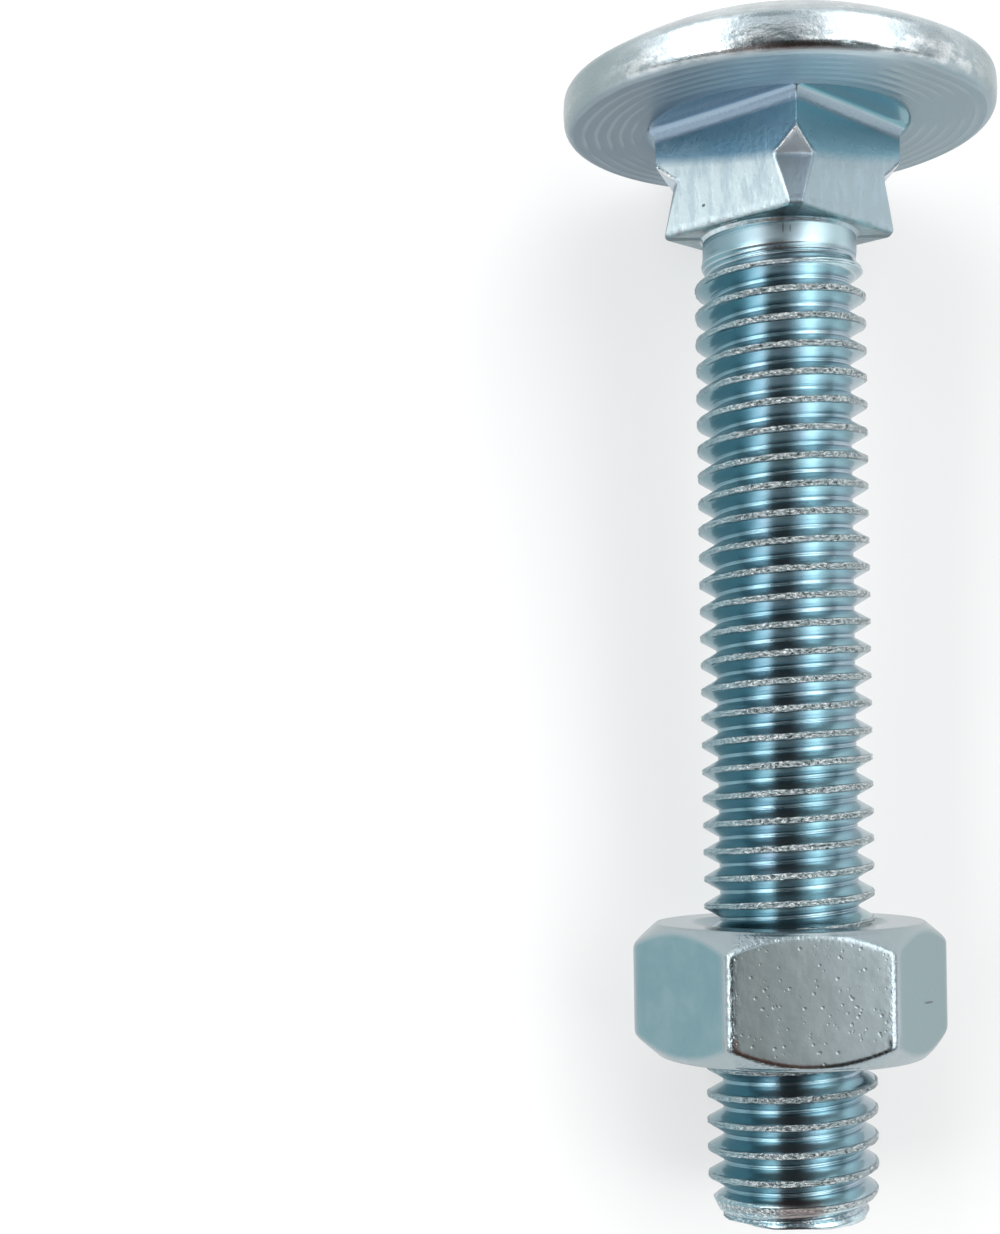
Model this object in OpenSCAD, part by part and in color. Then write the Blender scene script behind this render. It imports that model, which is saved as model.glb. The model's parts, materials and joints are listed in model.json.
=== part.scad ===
// Carriage bolt with a cup head, a square neck and a right-hand rolled thread,
// lying on a table with its plain hexagon nut screwed on near the tip.
// Lengths along the bolt, called stations, count from the bearing face under the head to the tip.

/* [Head] */
// Diameter of the cup head
head_d = 19.9; // [18:0.1:24]
// Height of the cup head above its bearing face
head_h = 4.7; // [4:0.1:6]
// Height of the straight band round the rim
rim_band = 0.8; // [0.4:0.1:1.2]
// Radius of the rim's edge on the bearing side
rim_edge_r = 0.6; // [0.3:0.1:0.9]
// Radius of the rim's shoulder on the dome side
rim_shoulder_r = 0.6; // [0.3:0.1:0.9]
// Diameter of the shallow round recess in the bearing face
seat_recess_d = 12.2; // [12:0.1:14]
// Depth of that recess
seat_recess_depth = 0.1; // [0.05:0.05:0.2]

/* [Neck] */
// Width across the neck's flats at the head
neck_w = 8.1; // [7.8:0.1:8.3]
// Width across the flats at the neck's free end
neck_end_w = 7.9; // [7.6:0.1:8.2]
// Length of the square neck
neck_len = 5; // [4.5:0.1:6]
// Station where the turned cut that rounds the corners starts
corner_station = 1.6; // [1.1:0.1:1.8]
// Station of the waist, where that cut is deepest
waist_station = 2.6; // [2.3:0.1:3.2]
// Distance across the rounded corners at the waist
waist_corner_d = 9.7; // [9.3:0.05:10]
// Distance across the rounded corners at the free end
neck_end_corner_d = 10.6; // [10.2:0.1:10.8]
// Chamfer round the neck's free end
neck_end_chamfer = 0.25; // [0.1:0.05:0.4]
// Width of the bevelled web where the flats meet the head
neck_web = 0.4; // [0.2:0.1:0.5]

/* [Thread] */
// Length of the bolt under its head
bolt_len = 50.5; // [45:0.5:60]
// Diameter over the thread's crests
thread_d = 7.9; // [7.7:0.05:8]
// Pitch of the thread
pitch = 1.25; // [1.25:0.25:1.5]
// Depth of the thread
thread_depth = 0.77; // [0.7:0.01:0.8]
// Width of the flat on each crest
crest_flat = 0.16; // [0.1:0.02:0.2]
// Diameter of the plain stub that the thread is rolled from
stub_d = 7.1; // [6.9:0.05:7.2]
// Station where the thread starts
thread_start = 5.8; // [5.6:0.1:6.5]
// Length over which the thread grows to its full depth
thread_runout = 1.5; // [1:0.25:2.5]
// Diameter of the end face at the tip
tip_d = 6.6; // [6:0.1:7]
// Length of the chamfer at the tip
tip_chamfer = 1.35; // [0.8:0.05:1.6]

/* [Nut] */
// Width across the nut's flats
nut_w = 12.8; // [12.7:0.1:13.2]
// Height of the nut
nut_h = 6.1; // [5.8:0.1:6.8]
// Station of the nut's bearing face
nut_station = 36.85; // [8:0.05:38]
// Distance across the nut's rounded corners
nut_corner_d = 14.54; // [14.2:0.02:14.6]
// Diameter of the flat ring inside the nut's chamfers
nut_face_d = 12.4; // [11.8:0.1:12.6]
// Angle of the nut's chamfers from its faces
nut_chamfer_angle = 40; // [30:5:45]
// Diameter of the countersinks at the mouths of the nut's bore
nut_mouth_d = 9; // [8.6:0.1:9.6]
// Running clearance between the thread's crests and the nut's bore, on the radius
nut_clearance = 0.08; // [0.05:0.01:0.1]

/* [Hidden] */
$fn = 96;

// Overlap that joins solids which would only touch
joint_overlap = 0.2;
// Margin by which a cutting shape reaches past the surface that it cuts
cut_margin = 1;
// Flats of the nut, and half the angle between two of them
nut_sides = 6;
nut_half_angle = 180 / nut_sides;
// Angle of the thread's flanks from a plane across the bolt
flank_angle = 30;
// Station of the crest centre on the bolt's underside, counted from the bearing face within one pitch
thread_phase = 0.149;
// Facets round one turn of the thread
thread_steps = 20;

head_r = head_d / 2;
stub_r = stub_d / 2;
crest_r = thread_d / 2;
root_r = crest_r - thread_depth;
tip_r = tip_d / 2;

// Dome: the sphere through the crown that meets the rim's shoulder without a crease
shoulder_x = head_r - rim_shoulder_r;
shoulder_y = rim_edge_r + rim_band;
dome_rise = head_h - shoulder_y;
dome_r = (pow(shoulder_x, 2) + pow(dome_rise, 2) - pow(rim_shoulder_r, 2))
    / (2 * (dome_rise - rim_shoulder_r));
dome_y = head_h - dome_r;
dome_angle = atan2(shoulder_y - dome_y, shoulder_x);
meet_x = shoulder_x + rim_shoulder_r * cos(dome_angle);
meet_y = shoulder_y + rim_shoulder_r * sin(dome_angle);

// Nut: stations of its faces, of the end of its lowest flat, and the radii that its shape turns on
nut_end = nut_station + nut_h;
nut_r = nut_w / 2;
nut_chamfer_run = (nut_r - nut_face_d / 2) * tan(nut_chamfer_angle);
nut_foot = nut_end - nut_chamfer_run;
nut_bore_r = crest_r + nut_clearance;

// Rest: the rim's rounded edge touches the table, and the bolt dips towards its tip until
// the far end of the nut's lowest flat or the last full crest touches it too
function dip(s, r) =
    let (run = s + rim_edge_r, drop = head_r - rim_edge_r - r)
    asin(rim_edge_r / norm([run, drop])) + atan2(drop, run);
rest_tilt = min(dip(nut_foot, nut_r), dip(bolt_len - tip_chamfer, crest_r));
axis_height = (head_r - rim_edge_r) * cos(rest_tilt) + rim_edge_r * (1 - sin(rest_tilt));

// The origin lies on the table below the middle of the whole length
head_reach = dome_r - (dome_r - head_h) * cos(rest_tilt);
tip_reach = bolt_len * cos(rest_tilt) + tip_r * sin(rest_tilt);
seat_x = (head_reach - tip_reach) / 2;

// Thread profile: distance along the bolt from the crest's centre, and radius, of its foot,
// its crest's two edges and its other foot
ridge_half = crest_flat / 2 + thread_depth * tan(flank_angle);
profile_s = [-ridge_half, -crest_flat / 2, crest_flat / 2, ridge_half];
profile_r = [root_r, crest_r, crest_r, root_r];
marks = len(profile_s);

// The winding starts inside the neck and ends past the tip, where it lies flat on the end face
first_turn = floor((neck_len - joint_overlap - thread_phase) / pitch) - 1;
last_turn = ceil((bolt_len - thread_phase + ridge_half) / pitch);
lines = marks * (last_turn - first_turn);
// Turns past the tip in which the winding would shrink to the middle of the end face
end_turns = 3;

// Share of the full thread that is formed at a station, from 0 at the start to 1 after the run-out
function formed(s) = min(1, max(0, (s - thread_start) / thread_runout));
// Radius of the tip's chamfer at a station, and past the tip the radius of the winding on the end face
function chamfer_r(s) = tip_r + (bolt_len - s) * (crest_r - tip_r) / tip_chamfer;
function end_face_r(s) = tip_r * (1 - (s - bolt_len) / (end_turns * pitch));
// Radius of the shank where the full thread would have radius r
function shank_r(s, r) =
    s > bolt_len ? end_face_r(s) : min(stub_r + (r - stub_r) * formed(s), chamfer_r(s));

// Half section of the head, with its bearing face on the X axis and its crown up
module head_section() {
    translate([head_r - rim_edge_r, rim_edge_r])
        circle(r = rim_edge_r);
    translate([shoulder_x, shoulder_y])
        circle(r = rim_shoulder_r);
    polygon([
        [0, 0],
        [head_r - rim_edge_r, 0],
        [head_r - rim_edge_r, rim_edge_r],
        [head_r, rim_edge_r],
        [head_r, shoulder_y],
        [shoulder_x, shoulder_y],
        [meet_x, meet_y],
        [0, meet_y]
    ]);
    intersection() {
        translate([0, dome_y])
            circle(r = dome_r);
        square([meet_x, head_h + cut_margin]);
    }
}

// The cup head: a turned dome and rim, with the shallow recess round the neck
module head() {
    difference() {
        mirror([0, 0, 1])
            rotate_extrude()
                intersection() {
                    head_section();
                    square([head_r + cut_margin, head_h + cut_margin]);
                }
        translate([0, 0, -seat_recess_depth])
            cylinder(h = seat_recess_depth + cut_margin, d = seat_recess_d);
    }
}

// A square bar that tapers from one width to another, with its corners pointing up and down
module tapered_square(from, to, w_from, w_to) {
    translate([0, 0, from])
        rotate([0, 0, 45])
            linear_extrude(height = to - from, scale = w_to / w_from)
                square(w_from, center = true);
}

// The square neck: a slight taper, with a web at the head and corners turned down to a waist
module neck() {
    web_w = neck_w + 2 * neck_web;
    corner_r = neck_w / sqrt(2);
    intersection() {
        union() {
            tapered_square(-seat_recess_depth - joint_overlap, neck_len, neck_w, neck_end_w);
            tapered_square(-seat_recess_depth, neck_web - seat_recess_depth, web_w, neck_w);
        }
        rotate_extrude()
            polygon([
                [0, -seat_recess_depth - joint_overlap],
                [seat_recess_d / 2, -seat_recess_depth - joint_overlap],
                [seat_recess_d / 2, -seat_recess_depth],
                [corner_r, neck_web],
                [corner_r, corner_station],
                [waist_corner_d / 2, waist_station],
                [neck_end_corner_d / 2, neck_len - neck_end_chamfer],
                [neck_end_corner_d / 2 - neck_end_chamfer, neck_len],
                [0, neck_len]
            ]);
    }
}

// Point j of line i. A line follows one edge of the profile through a full turn, and the line
// that goes on from its end is the one a turn further
function thread_point(i, j) =
    let (
        turn = first_turn + floor(i / marks) + j / thread_steps,
        s = thread_phase + turn * pitch + profile_s[i % marks],
        r = shank_r(s, profile_r[i % marks]),
        a = 360 * j / thread_steps
    )
    [r * cos(a), r * sin(a), min(s, bolt_len)];

// The shank with its right-hand thread: faces between neighbouring lines, faces over the seam
// where a line goes on as the next turn's, and a fan of faces at each end
module threaded_shank() {
    n = thread_steps;
    points = [for (i = [0:lines], j = [0:n - 1]) thread_point(i, j)];
    between = [for (i = [0:lines - 1], j = [0:n - 2])
        let (p = i * n + j)
        each [[p, p + n, p + n + 1], [p, p + n + 1, p + 1]]];
    seam = [for (i = [0:lines - 1 - marks])
        let (p = i * n + n - 1, q = (i + marks) * n)
        each [[p, p + n, q + n], [p, q + n, q]]];
    foot_edge = concat([for (j = [0:n - 1]) j], [for (i = [marks:-1:1]) i * n]);
    tip_edge = concat(
        [for (j = [0:n - 1]) lines * n + j],
        [for (i = [lines - 1:-1:lines - marks]) i * n + n - 1]);
    foot_centre = len(points);
    tip_centre = foot_centre + 1;
    foot_fan = [for (k = [0:len(foot_edge) - 1])
        [foot_edge[k], foot_edge[(k + 1) % len(foot_edge)], foot_centre]];
    tip_fan = [for (k = [0:len(tip_edge) - 1])
        [tip_edge[(k + 1) % len(tip_edge)], tip_edge[k], tip_centre]];
    centres = [[0, 0, thread_point(0, 0).z - joint_overlap], [0, 0, bolt_len]];
    polyhedron(concat(points, centres), concat(between, seam, foot_fan, tip_fan));
}

// The whole bolt upright on its crown: one piece of steel
module bolt_upright() {
    head();
    neck();
    threaded_shank();
}

// Half section of the nut's outside, which bevels both ends of the hexagon
module nut_bevel_section() {
    reach = nut_corner_d / 2 + cut_margin;
    drop = (reach - nut_face_d / 2) * tan(nut_chamfer_angle);
    polygon([
        [0, 0],
        [nut_face_d / 2, 0],
        [reach, drop],
        [reach, nut_h - drop],
        [nut_face_d / 2, nut_h],
        [0, nut_h]
    ]);
}

// A countersink at one mouth of the nut's bore
module nut_mouth() {
    depth = nut_mouth_d / 2 - nut_bore_r;
    translate([0, 0, -joint_overlap])
        cylinder(h = depth + joint_overlap, r1 = nut_mouth_d / 2 + joint_overlap, r2 = nut_bore_r);
}

// The nut upright, with its first face on the XY plane and two flats square to the X axis
module nut_upright() {
    difference() {
        intersection() {
            rotate([0, 0, nut_half_angle])
                cylinder(h = nut_h, r = nut_r / cos(nut_half_angle), $fn = nut_sides);
            cylinder(h = nut_h, d = nut_corner_d);
            rotate_extrude()
                nut_bevel_section();
        }
        translate([0, 0, -cut_margin])
            cylinder(h = nut_h + 2 * cut_margin, r = nut_bore_r);
        nut_mouth();
        translate([0, 0, nut_h])
            mirror([0, 0, 1])
                nut_mouth();
    }
}

// Lays an upright shape down: its foot goes to the bearing face and its Z axis runs down to the tip
module lying() {
    translate([seat_x, 0, axis_height])
        rotate([0, 90 + rest_tilt, 0])
            children();
}

module bolt() {
    color("lightsteelblue")
        lying()
            bolt_upright();
}

module nut() {
    color("lightslategray")
        lying()
            translate([0, 0, nut_station])
                nut_upright();
}

bolt();
nut();
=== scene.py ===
import json
import math

import bmesh
import bpy
import numpy as np
from mathutils import Matrix, Vector

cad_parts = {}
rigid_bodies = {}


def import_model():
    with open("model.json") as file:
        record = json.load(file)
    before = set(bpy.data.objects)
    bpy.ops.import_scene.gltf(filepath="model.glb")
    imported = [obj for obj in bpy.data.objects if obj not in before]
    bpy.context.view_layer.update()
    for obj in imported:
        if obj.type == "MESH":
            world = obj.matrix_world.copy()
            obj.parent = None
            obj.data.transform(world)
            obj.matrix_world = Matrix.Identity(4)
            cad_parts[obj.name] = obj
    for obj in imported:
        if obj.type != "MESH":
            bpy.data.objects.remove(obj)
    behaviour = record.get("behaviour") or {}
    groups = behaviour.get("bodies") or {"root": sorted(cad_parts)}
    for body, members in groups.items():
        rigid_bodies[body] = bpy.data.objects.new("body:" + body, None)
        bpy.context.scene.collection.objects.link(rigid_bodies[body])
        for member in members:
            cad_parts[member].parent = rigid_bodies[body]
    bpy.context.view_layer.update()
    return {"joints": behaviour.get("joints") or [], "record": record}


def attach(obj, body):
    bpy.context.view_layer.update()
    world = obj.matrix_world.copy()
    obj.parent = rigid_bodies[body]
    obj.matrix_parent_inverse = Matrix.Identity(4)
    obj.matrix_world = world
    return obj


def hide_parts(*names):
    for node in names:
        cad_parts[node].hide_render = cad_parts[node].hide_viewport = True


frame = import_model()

mm = 0.001
fullTurn = 2 * math.pi

# The bolt's own directions, from the record: its axis runs from the bearing face to the tip
mounts = {m["name"]: m for m in frame["record"]["mounts"]}
seat = np.array(mounts["head_seat"]["pos_m"])
axis = np.array(mounts["head_seat"]["axis"])
axis = axis / np.linalg.norm(axis)
side = np.array([0.0, 1.0, 0.0])
under = np.cross(side, axis)      # towards the table, square to the axis
nutStation = float(np.dot(np.array(mounts["nut_seat"]["pos_m"]) - seat, axis)) / mm


def place(station, radius, angle):
    # point = seat + station * axis + radius * (cos(angle) * under + sin(angle) * side), sizes in mm
    station, radius, angle = np.broadcast_arrays(station, radius, angle)
    across = np.cos(angle)[..., None] * under + np.sin(angle)[..., None] * side
    return seat + mm * (station[..., None] * axis + radius[..., None] * across)


def softMin(values, sharpness):
    # soft minimum = -log(sum of exp(-sharpness * value)) / sharpness: it rounds the edge where values meet
    values = np.stack(np.broadcast_arrays(*values))
    low = values.min(axis=0)
    return low - np.log(np.exp(-sharpness * (values - low)).sum(axis=0)) / sharpness


def flatRadii(halfWidth, angle, count, first):
    # each flat's radius = half width / cos(angle from its middle), with a limit that keeps it positive
    middles = [math.radians(first + q * 360 / count) for q in range(count)]
    return [halfWidth / np.maximum(np.cos(angle - middle), 0.2) for middle in middles]


def arc(start, end, count):
    # angles from start to end in degrees, as radians
    return np.radians(np.linspace(start, end, count))


def cornerAngles(corners, perSector, crowding):
    # angles that crowd towards the corners: step = 1 - crowding * cos(full turn * share of the sector)
    share = np.arange(perSector) / perSector
    eased = share - crowding * np.sin(fullTurn * share) / fullTurn
    return ((np.arange(corners)[:, None] + eased[None, :]) * fullTurn / corners).ravel()


def ringFaces(rows, columns, start=0):
    # quads between each two rows of a grid whose columns close into a ring
    row = np.arange(rows - 1)[:, None] * columns
    col = np.arange(columns)[None, :]
    nextCol = (col + 1) % columns
    quads = np.stack([row + col, row + nextCol, row + columns + nextCol, row + columns + col], axis=-1)
    return quads.reshape(-1, 4) + start


def helixFaces(rows, columns, perTurn, start=0):
    # quads of a grid that winds: past the last column, a row goes on as the row one turn further
    row = np.arange(rows - 1)[:, None]
    col = np.arange(columns)[None, :]
    nextRow = np.where(col == columns - 1, row + perTurn, row)
    nextCol = (col + 1) % columns
    quads = np.stack([row * columns + col, nextRow * columns + nextCol,
                      (nextRow + 1) * columns + nextCol, (row + 1) * columns + col], axis=-1)
    return quads[nextRow + 1 < rows] + start


def makePiece(name, points, faces, marks, seam=2e-7, speck=1e-7):
    # a mesh from whole arrays: seams merged, poles closed, faces outward, marks kept as attributes
    mesh = bpy.data.meshes.new(name)
    mesh.vertices.add(len(points))
    mesh.vertices.foreach_set("co", points.astype(np.float32).ravel())
    mesh.loops.add(faces.size)
    mesh.loops.foreach_set("vertex_index", faces.astype(np.int32).ravel())
    mesh.polygons.add(len(faces))
    mesh.polygons.foreach_set("loop_start", np.arange(0, faces.size, 4, dtype=np.int32))
    for label, values in marks.items():
        layer = mesh.attributes.new(label, "FLOAT", "POINT")
        layer.data.foreach_set("value", values.astype(np.float32).ravel())
    mesh.update(calc_edges=True)
    mesh.validate()
    shape = bmesh.new()
    shape.from_mesh(mesh)
    bmesh.ops.remove_doubles(shape, verts=shape.verts, dist=seam)
    bmesh.ops.dissolve_degenerate(shape, edges=shape.edges, dist=speck)
    bmesh.ops.recalc_face_normals(shape, faces=shape.faces)
    openEdges = sum(1 for e in shape.edges if not e.is_manifold)
    volume = round(shape.calc_volume() / mm ** 3, 1)
    print(name, "faces", len(shape.faces), "open edges", openEdges, "volume mm3", volume)
    shape.to_mesh(mesh)
    shape.free()
    mesh.polygons.foreach_set("use_smooth", np.ones(len(mesh.polygons), bool))
    piece = bpy.data.objects.new(name, mesh)
    bpy.context.scene.collection.objects.link(piece)
    return piece


# Head and neck
head = {
    "radius": 9.946,
    "height": 4.695,
    "edgeRadius": 0.6,          # rim's edge on the bearing side
    "shoulderRadius": 0.6,      # rim's shoulder on the dome side
    "shoulderStation": -1.4,
    "bandSwell": 0.02,          # how far the rim's band swells between its two edges
    "recessRadius": 6.0,        # shallow recess round the neck
    "recessDepth": 0.1,
    "stepWidth": 0.12,
    "domeRows": 34,
    "shoulderRows": 9,
    "edgeRows": 10,
    "faceRows": 6,
}
neck = {
    "columns": 96,              # per quarter turn
    "crowding": 0.72,
    "halfWidth": 4.05,          # at the head
    "endHalfWidth": 3.95,
    "waist": 2.6,
    "length": 5.0,
    "endRound": 0.22,
    "cornerStart": 1.6,         # station where the turned cut starts
    "cornerRadius": 5.728,
    "waistCornerRadius": 4.85,
    "endCornerRadius": 5.3,
    "sharpness": 60.0,          # of the edges between flats and corners, per mm
    "creaseSharpness": 22.0,
    "filletRadius": 0.6,
    "endFillet": 0.22,          # where the end face meets the plain stub
    "endFilletRadius": 3.78,
    "shadeUnderRimSlope": 0.33,            # how far down the flats the rim's painted shade reaches, per mm out to the rim
    "shadeUnderRimFade": 0.5,
    "kiteFade": 0.06,           # how softly the corner cut's colour ends at the flats, in mm of depth
    "tearAndGlintReach": 0.11,          # and how far its torn edges, with their painted highlight, reach
    "filletRows": 10,
    "waistRows": 34,
    "lowerRows": 26,
    "endRows": 6,
}


def neckOutline(station, angle):
    # radius = soft minimum of four flats, half width / cos(angle from the flat), and the turned corner cut;
    # kite is 1 on the cut, and the third value is 1 along its edges, which are torn and get a painted
    # highlight
    k = neck
    half = k["halfWidth"] + (k["endHalfWidth"] - k["halfWidth"]) * station / k["length"]
    narrowing = (k["cornerRadius"] - k["waistCornerRadius"]) / (k["waist"] - k["cornerStart"])
    widening = (k["endCornerRadius"] - k["waistCornerRadius"]) / (k["length"] - k["endRound"] - k["waist"])
    upperCut = k["waistCornerRadius"] - narrowing * (station - k["waist"])
    lowerCut = k["waistCornerRadius"] + widening * (station - k["waist"])
    corner = -softMin([-upperCut, -lowerCut], k["creaseSharpness"])
    flats = flatRadii(half, angle, 4, 45)
    cut = np.minimum.reduce(flats) - corner
    kite = np.clip(cut / k["kiteFade"] + 0.5, 0, 1)
    tearAndGlint = np.exp(-(cut / k["tearAndGlintReach"]) ** 2)
    return softMin(flats + [corner], k["sharpness"]), kite, tearAndGlint


def headAndNeck():
    # rows run from the crown over the rim, in across the bearing face and along the neck to its end
    h, k = head, neck
    angle = cornerAngles(4, k["columns"], k["crowding"])
    shoulderX = h["radius"] - h["shoulderRadius"]
    rise = h["height"] + h["shoulderStation"]
    domeRadius = shoulderX ** 2 + rise ** 2 - h["shoulderRadius"] ** 2
    domeRadius = domeRadius / (2 * (rise - h["shoulderRadius"]))
    domeCentre = domeRadius - h["height"]
    meet = math.degrees(math.atan2(shoulderX, domeCentre - h["shoulderStation"]))
    dome = arc(0, meet, h["domeRows"])
    shoulder = arc(meet, 90, h["shoulderRows"])[1:]
    edge = arc(0, 90, h["edgeRows"])
    stations = np.concatenate([
        domeCentre - domeRadius * np.cos(dome),
        h["shoulderStation"] - h["shoulderRadius"] * np.cos(shoulder),
        np.linspace(h["shoulderStation"], -h["edgeRadius"], 5)[1:-1],
        -h["edgeRadius"] + h["edgeRadius"] * np.sin(edge),
        np.zeros(h["faceRows"]),
        h["recessDepth"] * np.array([-0.2, -0.8, -1.0])])
    innerX = h["radius"] - h["edgeRadius"]
    stepX = h["recessRadius"] + h["stepWidth"]
    radii = np.concatenate([
        domeRadius * np.sin(dome) * (1 - h["bandSwell"] / shoulderX),
        shoulderX - h["bandSwell"] + h["shoulderRadius"] * np.sin(shoulder),
        h["radius"] - h["bandSwell"] * np.array([0.3, 0.0, 0.3]),
        innerX - h["bandSwell"] + h["edgeRadius"] * np.cos(edge),
        np.linspace(innerX, stepX, h["faceRows"] + 1)[1:],
        stepX - h["stepWidth"] * np.array([1, 2, 3]) / 3])
    station = np.repeat(stations[:, None], len(angle), axis=1)
    radius = np.repeat(radii[:, None], len(angle), axis=1)

    # the recess floor changes from the round step to the neck's outline with its concave fillet
    fillet = arc(0, 90, k["filletRows"])
    filletOut = k["filletRadius"] * (1 - np.sin(fillet))
    filletUp = k["filletRadius"] * (1 - np.cos(fillet)) - h["recessDepth"]
    footRadius = neckOutline(np.array(0.0), angle)[0] + k["filletRadius"]
    blend = np.linspace(0, 1, 6)[1:-1, None]
    widest = h["recessRadius"] - 0.01       # the fillet ends inside the step
    floorRadius = h["recessRadius"] * (1 - blend) + np.minimum(footRadius, widest)[None, :] * blend
    floorStation = np.full_like(floorRadius, -h["recessDepth"])
    filletStation = np.repeat(filletUp[:, None], len(angle), axis=1)
    filletRadius = neckOutline(filletStation, angle[None, :])[0] + filletOut[:, None]
    filletRadius = np.minimum(filletRadius, widest)

    along = np.concatenate([
        np.linspace(filletUp[-1], k["waist"], k["waistRows"])[1:],
        np.linspace(k["waist"], k["length"] - k["endRound"], k["lowerRows"])[1:]])
    neckStation = np.repeat(along[:, None], len(angle), axis=1)
    neckRadius, neckKite, neckTear = neckOutline(neckStation, angle[None, :])
    turn = arc(0, 90, k["endRows"])[1:]
    endStation = (k["length"] - k["endRound"] * (1 - np.sin(turn)))[:, None]
    endStation = np.repeat(endStation, len(angle), axis=1)
    endRadius = neckRadius[-1][None, :] - k["endRound"] * (1 - np.cos(turn))[:, None]
    closing = np.array([0.66, 0.33])[:, None]
    faceRadius = k["endFilletRadius"] + (endRadius[-1][None, :] - k["endFilletRadius"]) * closing
    bend = arc(0, 90, 5)
    toCentre = np.array([2.4, 1.2, 0.0])
    innerRadius = np.concatenate([k["endFilletRadius"] - k["endFillet"] * np.sin(bend), toCentre])
    innerRise = np.concatenate([1 - np.cos(bend), np.ones_like(toCentre)]) * k["endFillet"]
    innerStation = k["length"] + innerRise
    capRadius = np.concatenate([faceRadius, np.repeat(innerRadius[:, None], len(angle), axis=1)])
    capStation = np.concatenate([np.full_like(faceRadius, k["length"]),
                                 np.repeat(innerStation[:, None], len(angle), axis=1)])

    station = np.concatenate([station, floorStation, filletStation, neckStation, endStation, capStation])
    radius = np.concatenate([radius, floorRadius, filletRadius, neckRadius, endRadius, capRadius])
    rows = len(station)
    points = place(station, radius, angle[None, :])
    # painted shade darkens a flat where the rim shelters it: station < slope * distance sideways to the rim
    up, across = radius * np.cos(angle)[None, :], radius * np.sin(angle)[None, :]
    outward = np.sqrt(np.maximum(h["radius"] ** 2 - up ** 2, 0)) - np.abs(across)
    shadeUnderRim = np.clip((k["shadeUnderRimSlope"] * outward - station) / k["shadeUnderRimFade"] + 0.5, 0, 1)

    kite, tearAndGlint = np.zeros_like(radius), np.zeros_like(radius)
    pastNeck = rows - len(endRadius) - len(capRadius)
    firstNeck = pastNeck - len(neckKite)
    kite[firstNeck:pastNeck] = neckKite
    kite[pastNeck:] = neckKite[-1]
    tearAndGlint[firstNeck:pastNeck] = neckTear
    marks = {
        "station": station,
        "radial": radius,
        "kite": kite,
        "tearAndGlint": tearAndGlint,
        "shadeUnderRim": shadeUnderRim,
    }
    faces = ringFaces(rows, len(angle))
    return makePiece("cup_head", points.reshape(-1, 3), faces, marks)


# Threaded shank
thread = {
    "columns": 100,
    "pitch": 1.25,
    "phase": 0.149,             # station of a crest's centre on the underside
    "crestRadius": 3.95,
    "crestHalf": 0.10,
    "crestFold": 0.025,         # depth of the fold that rolling leaves along the crest
    "lipDepth": 0.035,          # where the flank bends into the crest's lip, below the crest
    "rootHalf": 0.085,          # half the root's width
    "flankAngle": 30,
    "stubRadius": 3.55,
    "start": 5.8,
    "runOut": 1.6,
    "length": 50.498,
    "tipRadius": 3.3,
    "tipChamfer": 1.35,
    "foot": 4.6,                # where the shank ends inside the neck
    "ragged": 0.032,            # how far a rolled crest wanders
    "driftLimit": 1.3,          # keeps its drift within the gap to the nut's thread
    "tipSharpness": 40.0,       # of the edges between the thread and the tip's chamfer
    "seed": 8,
}


def threadProfile():
    # one pitch from root to root: a root that rises a little in its middle, a straight flank, a crest with
    # two lips beside a fold, and the same back;
    # root radius = crest radius - flank's width / tan(flank angle)
    k = thread
    slope = 1 / math.tan(math.radians(k["flankAngle"]))
    half = k["pitch"] / 2
    rootRadius = k["crestRadius"] - (half - k["rootHalf"] - k["crestHalf"]) * slope
    rootOffset = -half + k["rootHalf"] * np.array([0.0, 0.45, 0.78, 0.98, 1.2])
    rootLift = np.array([0.016, 0.004, 0.0, 0.008, 0.2 * k["rootHalf"] * slope + 0.003])
    lipOffset, lipRadius = -k["crestHalf"] - k["lipDepth"] / slope, k["crestRadius"] - k["lipDepth"]
    share = np.array([0.4, 0.8, 1.0])
    flankOffset = rootOffset[-1] + (lipOffset - rootOffset[-1]) * share
    flankRadius = rootRadius + rootLift[-1] + (lipRadius - rootRadius - rootLift[-1]) * share
    crestOffset = k["crestHalf"] * np.array([-0.92, -0.6, -0.3])
    crestRadius = k["crestRadius"] - np.array([0.008, 0.0, k["crestFold"] * 0.8])
    up = np.concatenate([rootOffset, flankOffset, crestOffset])
    upRadius = np.concatenate([rootRadius + rootLift, flankRadius, crestRadius])
    offsets = np.concatenate([up, [0.0], -up[::-1][:-1]])
    radii = np.concatenate([upRadius, [k["crestRadius"] - k["crestFold"]], upRadius[::-1][:-1]])
    return offsets, radii


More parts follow.
